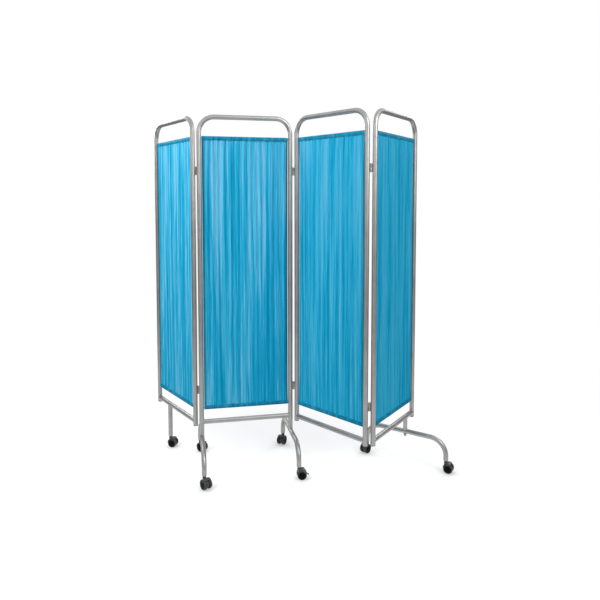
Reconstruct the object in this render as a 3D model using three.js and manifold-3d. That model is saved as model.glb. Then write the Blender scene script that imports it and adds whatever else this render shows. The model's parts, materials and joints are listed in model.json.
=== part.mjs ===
// A four-panel folding ward privacy screen on wheels.
// Frame: millimetres, +Z up, floor at Z = 0, origin under the middle of the footprint.
// Each panel is drawn in its own frame: X runs from its left post to its right post, Y to the rear.
import * as THREE from 'three';
import { mergeVertices } from 'three/addons/utils/BufferGeometryUtils.js';
import Module from 'manifold-3d';

const wasm = await Module();
wasm.setup();

// Whole screen
const OVERALL_HEIGHT = 1850;
const POST_SPACING = 475;
const SEAT_GAP = 0.3;
const RUNNING_GAP = 0.3;
const CUT_OVERRUN = 2;
const MERGE_DISTANCE = 1e-4;

// Frame tubes: an inverted U of steel tube for each panel
const TUBE_RADIUS = 12.5;
const TUBE_WALL = 1.5;
const CORNER_RADIUS = 78;
const POST_END_HEIGHT = 222;
const RAIL_RADIUS = 12.5;
const RAIL_WALL = 1.2;
const RAIL_RISE = 26;

// Plastic plugs in the open post ends
const PLUG_FLANGE = 3;
const PLUG_SPIGOT_LENGTH = 14;
const PLUG_EDGE_BEVEL = 1.2;

// Feet: bows across the panel plane, a straight leg and a short stub
const BOW_HEIGHT = 168;
const BOW_HALF_SPAN = 228;
const BOW_BEND_RADIUS = 85;
const FOOT_TUBE_END = 62;
const LEG_RADIUS = 12.5;
const LEG_WALL = 1.2;
const LEG_INSET = 146;
const STUB_INSET = 86;
const STUB_RADIUS = 11;
const STUB_WALL = 1.2;
const STUB_PLUG_HEIGHT = 22;
const BOLT_RADIUS = 4;
const BOLT_ENGAGEMENT = 12;
const NUT_RADIUS = 8;
const NUT_HEIGHT = 8;
const NUT_DOME_RADIUS = 6;
const NUT_DOME_HEIGHT = 7.5;

// Curtain and its two rods
const CURTAIN_TOP_DROP = 110;
const CURTAIN_BOTTOM_RISE = 64;
const CURTAIN_SIDE_GAP = 1.5;
const CLOTH_THICKNESS = 1.6;
const FOLD_DEPTH = 6;
const HEM_HEIGHT = 22;
const HEM_THICKNESS = 11;
const HEM_TAPER = 4;
const HEM_FOLD_DEPTH = 1;
const ROD_RADIUS = 3;
const ROD_REACH_INTO_POST = 5;

// Hinges: two barrels on a pin that stands beside both posts
const HINGE_OFFSET = 13.5;
const HINGE_BARREL_RADIUS = 5.8;
const HINGE_LENGTH = 42;
const HINGE_PIN_RADIUS = 2.8;
const HINGE_PIN_LENGTH = 15;
const HINGE_WEB_THICKNESS = 4;
const HINGE_WEB_HEIGHT = 15;
const UPPER_HINGE_DROP = 287;
const LOWER_HINGE_RISE = 194;

// Twin-wheel casters
const WHEEL_RADIUS = 25;
const WHEEL_CROWN_RADIUS = 19;
const WHEEL_WIDTH = 16;
const WHEEL_EDGE_BEVEL = 3;
const AXLE_RADIUS = 3.5;
const HOOD_WEB_THICKNESS = 14;
const WHEEL_SIDE_GAP = 0.5;
const HOOD_WEB_RADIUS = 19;
const HOOD_WHEEL_GAP = 1.2;
const FENDER_THICKNESS = 1.8;
const FENDER_WIDTH = 40;
const SWIVEL_BOSS_RADIUS = 9;
const SWIVEL_BOSS_DEPTH = 22;
const STEM_RADIUS = 5.5;
const STEM_LENGTH = 18;
const SOCKET_DEPTH = 20;
const CASTER_TRAIL = 15;

// Brake pedal on one caster
const PEDAL_PIVOT_RADIUS = 21;
const PEDAL_BARREL_RADIUS = 3;
const PEDAL_WIDTH = 11;
const PEDAL_LENGTH = 20;
const PEDAL_THICKNESS = 3;
const PEDAL_LIP = 4;

// Counts, and shares of a length
const PANEL_COUNT = 4;
const BRAKED_CASTER = 5;
const CURTAIN_FOLDS = 14;
const TUBE_SIDES = 12;
const BORE_SIDES = 8;
const BEND_STEPS = 5;
const WHEEL_SIDES = 16;
const FENDER_STEPS = 6;
const NUT_SIDES = 6;
const DOME_STEPS = 3;
const FOLD_OUTLINE_SHARES = [0, 1, 0, -1];
const FOLD_SIZE_SHARE = 0.75;
const FOLD_SWELL_SHARE = 0.2;
const FOLD_DRIFT_SHARE = 0.2;
const SWELL_WAVE_COUNT = 4.7;
const DRIFT_WAVE_COUNT = 2.3;

// Angles in degrees
const FOLD_1_2_ANGLE = 66.1;
const FOLD_2_3_ANGLE = 57.5;
const FOLD_3_4_ANGLE = 102;
const FENDER_START_ANGLE = 60;
const FENDER_END_ANGLE = 175;
const PEDAL_PIVOT_ANGLE = 35;
const PEDAL_DROOP_ANGLE = 45;
const CASTER_ANGLES = { 1: 42, 2: -46, 3: -58, 4: -128, 5: -9, 6: 166, 7: -85 };

// A maker of one finish, so that each mesh has a material of its own.
function finish(color, metalness, roughness) {
  return () => new THREE.MeshStandardMaterial({ color, metalness, roughness });
}

const steel = finish(0xc4c6c8, 1, 0.28);
const zincSteel = finish(0x9a9894, 1, 0.4);
const blackPlastic = finish(0x17181a, 0, 0.45);
const greyPlastic = finish(0x4a4d50, 0, 0.5);
const blueCloth = finish(0x2b9fd0, 0, 0.85);

const radians = THREE.MathUtils.degToRad;

// Turns a closed three.js geometry into a solid that can be joined and cut.
function solidOf(geometry) {
  const bare = new THREE.BufferGeometry();
  const source = geometry.index ? geometry.toNonIndexed() : geometry;
  bare.setAttribute('position', source.getAttribute('position'));
  const merged = mergeVertices(bare, MERGE_DISTANCE);
  const build = (triVerts) =>
    new wasm.Manifold(
      new wasm.Mesh({ numProp: 3, vertProperties: merged.attributes.position.array, triVerts }),
    );
  const corners = new Uint32Array(merged.index.array);
  const made = build(corners);
  return made.volume() < 0 ? build(corners.reverse()) : made;
}

// Turns a solid back into a geometry with flat facets.
function geometryOf(solid) {
  const mesh = solid.getMesh();
  const indexed = new THREE.BufferGeometry();
  indexed.setAttribute('position', new THREE.BufferAttribute(mesh.vertProperties, mesh.numProp));
  indexed.setIndex(new THREE.BufferAttribute(mesh.triVerts, 1));
  const flat = indexed.toNonIndexed();
  flat.computeVertexNormals();
  return flat;
}

// A centreline of straight runs with round bends at its inner corners.
// Its stations lie at the ends of each run and at even steps round each bend.
class BentPath extends THREE.Curve {
  constructor(corners, bendRadius) {
    super();
    this.stations = [];
    const last = corners.length - 1;
    corners.forEach((corner, i) => {
      if (i === 0 || i === last) {
        const along = i === 0 ? corners[1].clone().sub(corner) : corner.clone().sub(corners[last - 1]);
        this.stations.push({ point: corner, tangent: along.normalize() });
      } else {
        this.addBend(corners[i - 1], corner, corners[i + 1], bendRadius);
      }
    });
  }

  addBend(before, corner, after, radius) {
    const way = corner.clone().sub(before).normalize();
    const onward = after.clone().sub(corner).normalize();
    const turn = way.angleTo(onward);
    const inward = onward.clone().sub(way.clone().multiplyScalar(onward.dot(way))).normalize();
    const start = corner.clone().addScaledVector(way, -radius * Math.tan(turn / 2));
    for (let k = 0; k <= BEND_STEPS; k++) {
      const a = (turn * k) / BEND_STEPS;
      const point = start.clone();
      point.addScaledVector(way, radius * Math.sin(a));
      point.addScaledVector(inward, radius * (1 - Math.cos(a)));
      const tangent = way.clone().multiplyScalar(Math.cos(a)).addScaledVector(inward, Math.sin(a));
      this.stations.push({ point, tangent });
    }
  }

  get steps() {
    return this.stations.length - 1;
  }

  stationAt(share) {
    return this.stations[Math.round(share * this.steps)];
  }

  getPointAt(share, target = new THREE.Vector3()) {
    return target.copy(this.stationAt(share).point);
  }

  getTangentAt(share, target = new THREE.Vector3()) {
    return target.copy(this.stationAt(share).tangent);
  }
}

// The corners of a regular polygon, the first one on the X axis.
function ringPoints(radius, sides) {
  return Array.from({ length: sides }, (_, k) => {
    const a = (2 * Math.PI * k) / sides;
    return new THREE.Vector2(radius * Math.cos(a), radius * Math.sin(a));
  });
}

// A hollow tube, open at both ends, along a bent path.
function tubeAlong(path, radius, wall) {
  const section = new THREE.Shape(ringPoints(radius, TUBE_SIDES));
  section.holes.push(new THREE.Path(ringPoints(radius - wall, BORE_SIDES)));
  const options = { steps: path.steps, extrudePath: path, bevelEnabled: false, curveSegments: 1 };
  return solidOf(new THREE.ExtrudeGeometry(section, options));
}

// The radius whose flats lie outside a round thing of the given radius.
const roundAround = (radius, sides) => radius / Math.cos(Math.PI / sides);

// The corner radius of a polygon that lies an even gap outside one of the given corner radius.
const gapAround = (radius, gap, sides) => radius + gap / Math.cos(Math.PI / sides);

// An upright prism between two heights.
function upright(radius, bottom, top, sides) {
  const geometry = new THREE.CylinderGeometry(radius, radius, top - bottom, sides);
  geometry.rotateX(Math.PI / 2);
  geometry.translate(0, 0, (bottom + top) / 2);
  return solidOf(geometry);
}

// A prism along X or Y, between two places on that axis, at a height.
function level(axis, radius, from, to, height, sides) {
  const geometry = new THREE.CylinderGeometry(radius, radius, to - from, sides);
  const middle = (from + to) / 2;
  if (axis === 'x') {
    geometry.rotateZ(Math.PI / 2);
    geometry.translate(middle, 0, height);
  } else {
    geometry.translate(0, middle, height);
  }
  return solidOf(geometry);
}

// A solid of revolution about the Z axis from a profile that starts and ends on the axis.
function turned(profile, sides) {
  const points = profile.map(([radius, height]) => new THREE.Vector2(radius, height));
  const geometry = new THREE.LatheGeometry(points, sides);
  geometry.rotateX(Math.PI / 2);
  return solidOf(geometry);
}

function named(name, solid, material) {
  const mesh = new THREE.Mesh(geometryOf(solid), material());
  mesh.name = name;
  return mesh;
}

// The post as a cutter that leaves the seat gap all round.
function postCutter(x) {
  const radius = gapAround(TUBE_RADIUS, SEAT_GAP, TUBE_SIDES);
  return upright(radius, -CUT_OVERRUN, OVERALL_HEIGHT, TUBE_SIDES).translate([x, 0, 0]);
}

const RAIL_HEIGHT = POST_END_HEIGHT + RAIL_RISE;
const CURTAIN_TOP = OVERALL_HEIGHT - CURTAIN_TOP_DROP;
const CURTAIN_BOTTOM = RAIL_HEIGHT + CURTAIN_BOTTOM_RISE;
const TOP_ROD_HEIGHT = CURTAIN_TOP - HEM_HEIGHT / 2;
const BOTTOM_ROD_HEIGHT = CURTAIN_BOTTOM + HEM_HEIGHT / 2;
const ROD_START = TUBE_RADIUS - ROD_REACH_INTO_POST;

// The lying bow as a cutter that leaves the seat gap round a tube that stands on it.
function bowCutter() {
  const radius = gapAround(TUBE_RADIUS, SEAT_GAP, TUBE_SIDES);
  const reach = TUBE_RADIUS + CUT_OVERRUN;
  return level('y', radius, -reach, reach, BOW_HEIGHT, TUBE_SIDES);
}

// The bent frame tube. Its posts stand on the bows or end open above their plugs.
function frameTube(standsOnBows) {
  const foot = standsOnBows ? BOW_HEIGHT : POST_END_HEIGHT + PLUG_FLANGE + SEAT_GAP;
  const top = OVERALL_HEIGHT - TUBE_RADIUS;
  const corners = [
    new THREE.Vector3(0, 0, foot),
    new THREE.Vector3(0, 0, top),
    new THREE.Vector3(POST_SPACING, 0, top),
    new THREE.Vector3(POST_SPACING, 0, foot),
  ];
  let tube = tubeAlong(new BentPath(corners, CORNER_RADIUS), TUBE_RADIUS, TUBE_WALL);
  const hole = gapAround(ROD_RADIUS, SEAT_GAP, BORE_SIDES);
  for (const height of [TOP_ROD_HEIGHT, BOTTOM_ROD_HEIGHT]) {
    tube = tube.subtract(level('x', hole, 0, POST_SPACING, height, BORE_SIDES));
  }
  if (standsOnBows) {
    tube = tube.subtract(bowCutter()).subtract(bowCutter().translate([POST_SPACING, 0, 0]));
  }
  return tube;
}

// The bottom rail, coped round both posts.
function bottomRail() {
  const ends = [new THREE.Vector3(0, 0, RAIL_HEIGHT), new THREE.Vector3(POST_SPACING, 0, RAIL_HEIGHT)];
  const tube = tubeAlong(new BentPath(ends, 0), RAIL_RADIUS, RAIL_WALL);
  return tube.subtract(postCutter(0)).subtract(postCutter(POST_SPACING));
}

function curtainRod(height) {
  return level('x', ROD_RADIUS, ROD_START, POST_SPACING - ROD_START, height, BORE_SIDES);
}

const POINTS_PER_FOLD = FOLD_OUTLINE_SHARES.length;

// How far the cloth stands from the panel plane, as a share of the fold depth.
// Slow waves make the folds uneven, and each panel has its own phase.
function foldShare(step, phase) {
  const outline = FOLD_OUTLINE_SHARES[step % POINTS_PER_FOLD];
  const along = step / (CURTAIN_FOLDS * POINTS_PER_FOLD);
  const drift = FOLD_DRIFT_SHARE * Math.sin(2 * Math.PI * (DRIFT_WAVE_COUNT * along + phase));
  const swell = FOLD_SWELL_SHARE * Math.sin(2 * Math.PI * (SWELL_WAVE_COUNT * along + 2 * phase));
  return drift + (FOLD_SIZE_SHARE + swell) * outline;
}

// The gathered curtain: one closed sheet with thick hems that the rods run through.
function curtain(phase) {
  const left = TUBE_RADIUS + CURTAIN_SIDE_GAP;
  const right = POST_SPACING - left;
  const columns = CURTAIN_FOLDS * POINTS_PER_FOLD;
  const rows = [
    [CURTAIN_BOTTOM, HEM_THICKNESS, HEM_FOLD_DEPTH],
    [CURTAIN_BOTTOM + HEM_HEIGHT, HEM_THICKNESS, HEM_FOLD_DEPTH],
    [CURTAIN_BOTTOM + HEM_HEIGHT + HEM_TAPER, CLOTH_THICKNESS, FOLD_DEPTH],
    [CURTAIN_TOP - HEM_HEIGHT - HEM_TAPER, CLOTH_THICKNESS, FOLD_DEPTH],
    [CURTAIN_TOP - HEM_HEIGHT, HEM_THICKNESS, HEM_FOLD_DEPTH],
    [CURTAIN_TOP, HEM_THICKNESS, HEM_FOLD_DEPTH],
  ];
  const places = [];
  const corners = [];
  const at = (row, column, face) => (row * (columns + 1) + column) * 2 + face;
  const quad = (a, b, c, d) => corners.push(a, b, c, a, c, d);
  rows.forEach(([height, thickness, depth], row) => {
    const below = row - 1;
    for (let column = 0; column <= columns; column++) {
      const before = column - 1;
      const x = left + ((right - left) * column) / columns;
      const y = depth * foldShare(column, phase);
      places.push(x, y - thickness / 2, height);
      places.push(x, y + thickness / 2, height);
      if (row > 0 && column > 0) {
        quad(at(below, before, 0), at(below, column, 0), at(row, column, 0), at(row, before, 0));
        quad(at(below, column, 1), at(below, before, 1), at(row, before, 1), at(row, column, 1));
      }
    }
    if (row > 0) {
      quad(at(below, 0, 1), at(below, 0, 0), at(row, 0, 0), at(row, 0, 1));
      quad(at(below, columns, 0), at(below, columns, 1), at(row, columns, 1), at(row, columns, 0));
    }
  });
  const top = rows.length - 1;
  for (let column = 1; column <= columns; column++) {
    quad(at(0, column - 1, 1), at(0, column, 1), at(0, column, 0), at(0, column - 1, 0));
    quad(at(top, column - 1, 0), at(top, column, 0), at(top, column, 1), at(top, column - 1, 1));
  }
  const geometry = new THREE.BufferGeometry();
  geometry.setAttribute('position', new THREE.Float32BufferAttribute(places, 3));
  geometry.setIndex(corners);
  let cloth = solidOf(geometry);
  const bore = gapAround(ROD_RADIUS, SEAT_GAP, BORE_SIDES);
  for (const height of [TOP_ROD_HEIGHT, BOTTOM_ROD_HEIGHT]) {
    cloth = cloth.subtract(level('x', bore, 0, POST_SPACING, height, BORE_SIDES));
  }
  return cloth;
}

// A plug whose flange closes a post end and whose spigot stands inside the tube.
function endPlug() {
  const spigot = TUBE_RADIUS - TUBE_WALL - SEAT_GAP / Math.cos(Math.PI / BORE_SIDES);
  const flangeTop = POST_END_HEIGHT + PLUG_FLANGE;
  const flange = turned(
    [
      [0, POST_END_HEIGHT],
      [TUBE_RADIUS - PLUG_EDGE_BEVEL, POST_END_HEIGHT],
      [TUBE_RADIUS, POST_END_HEIGHT + PLUG_EDGE_BEVEL],
      [TUBE_RADIUS, flangeTop],
      [0, flangeTop],
    ],
    TUBE_SIDES,
  );
  const spigotTop = flangeTop + PLUG_SPIGOT_LENGTH;
  return flange.add(upright(spigot, POST_END_HEIGHT + PLUG_EDGE_BEVEL, spigotTop, BORE_SIDES));
}

// The bushed socket that is fixed in a foot tube's lower end and takes a caster's stem.
function stemSocket(bushRadius) {
  return upright(bushRadius, FOOT_TUBE_END, FOOT_TUBE_END + SOCKET_DEPTH, TUBE_SIDES);
}

function stemBore() {
  const radius = roundAround(STEM_RADIUS + RUNNING_GAP, TUBE_SIDES);
  const top = FOOT_TUBE_END + SOCKET_DEPTH + CUT_OVERRUN;
  return upright(radius, FOOT_TUBE_END - CUT_OVERRUN, top, TUBE_SIDES);
}

function boltHole() {
  const radius = gapAround(BOLT_RADIUS, SEAT_GAP, BORE_SIDES);
  const top = BOW_HEIGHT + TUBE_RADIUS + STUB_PLUG_HEIGHT + CUT_OVERRUN;
  return upright(radius, BOW_HEIGHT - TUBE_RADIUS - CUT_OVERRUN, top, BORE_SIDES);
}

// A foot bow: one tube bent down at both ends, with a stem socket in each.
function footBow(isBolted) {
  const corners = [
    new THREE.Vector3(0, -BOW_HALF_SPAN, FOOT_TUBE_END),
    new THREE.Vector3(0, -BOW_HALF_SPAN, BOW_HEIGHT),
    new THREE.Vector3(0, BOW_HALF_SPAN, BOW_HEIGHT),
    new THREE.Vector3(0, BOW_HALF_SPAN, FOOT_TUBE_END),
  ];
  let bow = tubeAlong(new BentPath(corners, BOW_BEND_RADIUS), TUBE_RADIUS, TUBE_WALL);
  const bush = stemSocket(TUBE_RADIUS - TUBE_WALL / 2);
  for (const y of [-BOW_HALF_SPAN, BOW_HALF_SPAN]) {
    bow = bow.add(bush.translate([0, y, 0])).subtract(stemBore().translate([0, y, 0]));
  }
  return isBolted ? bow.subtract(boltHole()) : bow;
}

function railCutter() {
  const radius = gapAround(RAIL_RADIUS, SEAT_GAP, TUBE_SIDES);
  return level('x', radius, -POST_SPACING, POST_SPACING, RAIL_HEIGHT, TUBE_SIDES);
}

// The straight leg under the first panel's rail.
function straightLeg() {
  const ends = [new THREE.Vector3(0, 0, FOOT_TUBE_END), new THREE.Vector3(0, 0, RAIL_HEIGHT)];
  const tube = tubeAlong(new BentPath(ends, 0), LEG_RADIUS, LEG_WALL);
  return tube.add(stemSocket(LEG_RADIUS - LEG_WALL / 2)).subtract(stemBore()).subtract(railCutter());
}

// The stub that carries the last panel's rail on its bow, with a bored plug at its foot.
function bowStub() {
  const ends = [new THREE.Vector3(0, 0, BOW_HEIGHT), new THREE.Vector3(0, 0, RAIL_HEIGHT)];
  const tube = tubeAlong(new BentPath(ends, 0), STUB_RADIUS, STUB_WALL);
  const plugTop = BOW_HEIGHT + TUBE_RADIUS + STUB_PLUG_HEIGHT;
  const plug = upright(STUB_RADIUS - STUB_WALL / 2, BOW_HEIGHT, plugTop, TUBE_SIDES);
  return tube.add(plug).subtract(boltHole()).subtract(bowCutter()).subtract(railCutter());
}

// The bolt that holds the bow to the stub, with its domed nut below the bow.
function bowBolt() {
  const seat = BOW_HEIGHT - TUBE_RADIUS - SEAT_GAP;
  const nutBottom = seat - NUT_HEIGHT;
  const nutMiddle = seat - NUT_HEIGHT / 2;
  const nut = upright(NUT_RADIUS, nutBottom, seat, NUT_SIDES);
  const profile = [];
  for (let k = 0; k <= DOME_STEPS; k++) {
    const a = (Math.PI * k) / (2 * DOME_STEPS);
    profile.push([NUT_DOME_RADIUS * Math.sin(a), nutBottom - NUT_DOME_HEIGHT * Math.cos(a)]);
  }
  profile.push([NUT_DOME_RADIUS, nutMiddle]);
  profile.push([0, nutMiddle]);
  const top = BOW_HEIGHT + TUBE_RADIUS + BOLT_ENGAGEMENT;
  const shank = upright(BOLT_RADIUS, nutMiddle, top, BORE_SIDES);
  return nut.add(turned(profile, BORE_SIDES)).add(shank);
}

// One hinge barrel with its web, drawn about the pin axis with the hinge's middle at height zero.
// The post's centre lies towards postX, postY from the pin.
function hingeHalf(carriesPin, postX, postY) {
  const half = HINGE_LENGTH / 2;
  const bottom = carriesPin ? -half : RUNNING_GAP / 2;
  const top = carriesPin ? -RUNNING_GAP / 2 : half;
  let barrel = upright(HINGE_BARREL_RADIUS, bottom, top, TUBE_SIDES);
  const reach = Math.hypot(postX, postY);
  const plate = new THREE.BoxGeometry(reach, HINGE_WEB_THICKNESS, HINGE_WEB_HEIGHT);
  plate.translate(reach / 2, 0, (bottom + top) / 2);
  plate.rotateZ(Math.atan2(postY, postX));
  const postRadius = gapAround(TUBE_RADIUS, SEAT_GAP, TUBE_SIDES);
  const post = upright(postRadius, -HINGE_LENGTH, HINGE_LENGTH, TUBE_SIDES);
  barrel = barrel.add(solidOf(plate)).subtract(post.translate([postX, postY, 0]));
  if (carriesPin) {
    return barrel.add(upright(HINGE_PIN_RADIUS, bottom, top + HINGE_PIN_LENGTH, TUBE_SIDES));
  }
  const bore = roundAround(HINGE_PIN_RADIUS + RUNNING_GAP, TUBE_SIDES);
  const boreTop = -RUNNING_GAP / 2 + HINGE_PIN_LENGTH + RUNNING_GAP;
  return barrel.subtract(upright(bore, -half, boreTop, TUBE_SIDES));
}

// A caster is drawn about its swivel axis with its trail along X and its axle along Y.
const AXLE_HEIGHT = WHEEL_RADIUS * Math.cos(Math.PI / WHEEL_SIDES);
const WHEEL_INNER_FACE = HOOD_WEB_THICKNESS / 2 + WHEEL_SIDE_GAP;
const WHEEL_OUTER_FACE = WHEEL_INNER_FACE + WHEEL_WIDTH;

function pedalPivot() {
  const a = radians(PEDAL_PIVOT_ANGLE);
  return [CASTER_TRAIL + PEDAL_PIVOT_RADIUS * Math.cos(a), AXLE_HEIGHT + PEDAL_PIVOT_RADIUS * Math.sin(a)];
}

// Both wheels on their axle, as one solid that turns together.
function wheelPair() {
  const crown = WHEEL_OUTER_FACE - WHEEL_EDGE_BEVEL / 2;
  const tread = WHEEL_OUTER_FACE - WHEEL_EDGE_BEVEL;
  const profile = [
    [0, WHEEL_OUTER_FACE],
    [WHEEL_CROWN_RADIUS, crown],
    [WHEEL_RADIUS, tread],
    [WHEEL_RADIUS, WHEEL_INNER_FACE],
    [AXLE_RADIUS, WHEEL_INNER_FACE],
  ];
  const mirrored = profile.map(([radius, y]) => [radius, -y]).reverse();
  const points = [...profile, ...mirrored].map(([radius, y]) => new THREE.Vector2(radius, y));
  const geometry = new THREE.LatheGeometry(points, WHEEL_SIDES);
  geometry.rotateY(Math.PI / WHEEL_SIDES);
  geometry.translate(CASTER_TRAIL, 0, AXLE_HEIGHT);
  return solidOf(geometry);
}

// The hood: a web between the wheels, a fender over them, the swivel boss and its stem.
function casterHood(hasPedal) {
  const wheelSpace = WHEEL_RADIUS + HOOD_WHEEL_GAP;
  const fenderRadius = wheelSpace + FENDER_THICKNESS;
  const sector = new THREE.Shape();
  sector.moveTo(0, 0);
  for (let k = 0; k <= FENDER_STEPS; k++) {
    const a = radians(THREE.MathUtils.lerp(FENDER_START_ANGLE, FENDER_END_ANGLE, k / FENDER_STEPS));
    sector.lineTo(fenderRadius * Math.cos(a), fenderRadius * Math.sin(a));
  }
  const fender = new THREE.ExtrudeGeometry(sector, { depth: FENDER_WIDTH, bevelEnabled: false });
  fender.rotateX(Math.PI / 2);
  fender.translate(CASTER_TRAIL, FENDER_WIDTH / 2, AXLE_HEIGHT);
  const halfWeb = HOOD_WEB_THICKNESS / 2;
  const web = level('y', HOOD_WEB_RADIUS, -halfWeb, halfWeb, AXLE_HEIGHT, TUBE_SIDES);
  const bossTop = FOOT_TUBE_END - SEAT_GAP;
  const boss = upright(SWIVEL_BOSS_RADIUS, bossTop - SWIVEL_BOSS_DEPTH, bossTop, TUBE_SIDES);
  let hood = solidOf(fender).add(web.translate([CASTER_TRAIL, 0, 0])).add(boss);
  const outside = FENDER_WIDTH / 2 + CUT_OVERRUN;
  for (const [from, to] of [[-outside, -halfWeb], [halfWeb, outside]]) {
    const space = level('y', wheelSpace, from, to, AXLE_HEIGHT, WHEEL_SIDES);
    hood = hood.subtract(space.translate([CASTER_TRAIL, 0, 0]));
  }
  const boreRadius = roundAround(AXLE_RADIUS + RUNNING_GAP, TUBE_SIDES);
  const boreReach = halfWeb + CUT_OVERRUN;
  const axleBore = level('y', boreRadius, -boreReach, boreReach, AXLE_HEIGHT, TUBE_SIDES);
  hood = hood.subtract(axleBore.translate([CASTER_TRAIL, 0, 0]));
  if (hasPedal) {
    const [x, z] = pedalPivot();
    const seat = roundAround(PEDAL_BARREL_RADIUS + RUNNING_GAP, TUBE_SIDES);
    hood = hood.subtract(level('y', seat, -outside, outside, z, TUBE_SIDES).translate([x, 0, 0]));
  }
  return hood.add(upright(STEM_RADIUS, bossTop - STEM_RADIUS, bossTop + STEM_LENGTH, TUBE_SIDES));
}

// The brake pedal, drawn about its own pivot: a barrel, a plate and a turned-up lip.
function brakePedal() {
  const half = PEDAL_WIDTH / 2;
  const barrel = level('y', PEDAL_BARREL_RADIUS, -half, half, 0, TUBE_SIDES);
  const outline = new THREE.Shape();
  outline.moveTo(0, -PEDAL_THICKNESS / 2);
  outline.lineTo(PEDAL_LENGTH, -PEDAL_THICKNESS / 2);
  outline.lineTo(PEDAL_LENGTH + PEDAL_THICKNESS, PEDAL_LIP);
  outline.lineTo(PEDAL_LENGTH, PEDAL_LIP);
  outline.lineTo(PEDAL_LENGTH - PEDAL_THICKNESS, PEDAL_THICKNESS / 2);
  outline.lineTo(0, PEDAL_THICKNESS / 2);
  const plate = new THREE.ExtrudeGeometry(outline, { depth: PEDAL_WIDTH, bevelEnabled: false });
  plate.rotateX(Math.PI / 2);
  plate.translate(0, half, 0);
  plate.rotateY(radians(PEDAL_DROOP_ANGLE));
  return barrel.add(solidOf(plate));
}

// A caster in its own group: the swivel axis is the group's Z axis.
function caster(number, x, y) {
  const group = new THREE.Group();
  group.position.set(x, y, 0);
  group.rotation.z = radians(CASTER_ANGLES[number]);
  const hasPedal = number === BRAKED_CASTER;
  group.add(named(`caster_${number}_hood`, casterHood(hasPedal), greyPlastic));
  group.add(named(`caster_${number}_wheels`, wheelPair(), blackPlastic));
  if (hasPedal) {
    const pedal = named(`caster_${number}_brake_pedal`, brakePedal(), greyPlastic);
    const [pivotX, pivotZ] = pedalPivot();
    pedal.position.set(pivotX, 0, pivotZ);
    group.add(pedal);
  }
  return group;
}

// What every panel has: frame, rail, rods and curtain, and plugs where its posts end open.
function panelGroup(number, standsOnBows) {
  const name = `panel_${number}`;
  const group = new THREE.Group();
  group.add(named(`${name}_frame`, frameTube(standsOnBows), steel));
  group.add(named(`${name}_bottom_rail`, bottomRail(), steel));
  group.add(named(`${name}_curtain_rod_top`, curtainRod(TOP_ROD_HEIGHT), zincSteel));
  group.add(named(`${name}_curtain_rod_bottom`, curtainRod(BOTTOM_ROD_HEIGHT), zincSteel));
  group.add(named(`${name}_curtain`, curtain(number / PANEL_COUNT), blueCloth));
  if (!standsOnBows) {
    for (const [side, x] of [['left', 0], ['right', POST_SPACING]]) {
      const plug = named(`${name}_${side}_end_plug`, endPlug(), greyPlastic);
      plug.position.x = x;
      group.add(plug);
    }
  }
  return group;
}

// The pin's place in a panel's frame: beyond the left or right post, on the front or rear side.
function pinPlace(side, face) {
  const x = side === 'left' ? -HINGE_OFFSET : POST_SPACING + HINGE_OFFSET;
  return new THREE.Vector3(x, face === 'rear' ? HINGE_OFFSET : -HINGE_OFFSET, 0);
}

// Adds one panel's halves of the upper and lower hinge of a joint.
function addHingeHalves(group, joint, side, face, carriesPin) {
  const pin = pinPlace(side, face);
  const postX = (side === 'left' ? 0 : POST_SPACING) - pin.x;
  const kind = carriesPin ? 'pin_half' : 'socket_half';
  const upper = OVERALL_HEIGHT - UPPER_HINGE_DROP;
  const lower = POST_END_HEIGHT + LOWER_HINGE_RISE;
  for (const [place, height] of [['upper', upper], ['lower', lower]]) {
    const half = named(`hinge_${joint}_${place}_${kind}`, hingeHalf(carriesPin, postX, -pin.y), zincSteel);
    half.position.set(pin.x, pin.y, height);
    group.add(half);
  }
}

// Hangs a panel on another one: both pins meet, and the hung panel is turned about them.
function hang(parent, parentPin, child, childPin, turn) {
  const pivot = new THREE.Group();
  pivot.position.copy(parentPin);
  pivot.rotation.z = radians(turn);
  child.position.copy(childPin).negate();
  pivot.add(child);
  parent.add(pivot);
}

const panel1 = panelGroup(1, false);
const panel2 = panelGroup(2, true);
const panel3 = panelGroup(3, false);
const panel4 = panelGroup(4, false);

const leg = named('panel_1_leg', straightLeg(), steel);
leg.position.x = LEG_INSET;
panel1.add(leg, caster(1, LEG_INSET, 0));

for (const [side, x, rearCaster, frontCaster] of [['left', 0, 2, 3], ['right', POST_SPACING, 4, 5]]) {
  const bow = named(`panel_2_${side}_foot_bow`, footBow(false), steel);
  bow.position.x = x;
  panel2.add(bow, caster(rearCaster, x, BOW_HALF_SPAN), caster(frontCaster, x, -BOW_HALF_SPAN));
}

const stubX = POST_SPACING - STUB_INSET;
const lastBow = new THREE.Group();
lastBow.position.x = stubX;
lastBow.add(named('panel_4_foot_bow', footBow(true), steel));
lastBow.add(named('panel_4_bow_stub', bowStub(), steel));
lastBow.add(named('panel_4_bow_bolt', bowBolt(), zincSteel));
lastBow.add(caster(6, 0, BOW_HALF_SPAN), caster(7, 0, -BOW_HALF_SPAN));
panel4.add(lastBow);

addHingeHalves(panel2, '1_2', 'left', 'rear', true);
addHingeHalves(panel1, '1_2', 'right', 'rear', false);
addHingeHalves(panel2, '2_3', 'right', 'front', true);
addHingeHalves(panel3, '2_3', 'left', 'front', false);
addHingeHalves(panel3, '3_4', 'right', 'rear', true);
addHingeHalves(panel4, '3_4', 'left', 'rear', false);

hang(panel2, pinPlace('left', 'rear'), panel1, pinPlace('right', 'rear'), -FOLD_1_2_ANGLE);
hang(panel2, pinPlace('right', 'front'), panel3, pinPlace('left', 'front'), -FOLD_2_3_ANGLE);
hang(panel3, pinPlace('right', 'rear'), panel4, pinPlace('left', 'rear'), FOLD_3_4_ANGLE);

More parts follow.
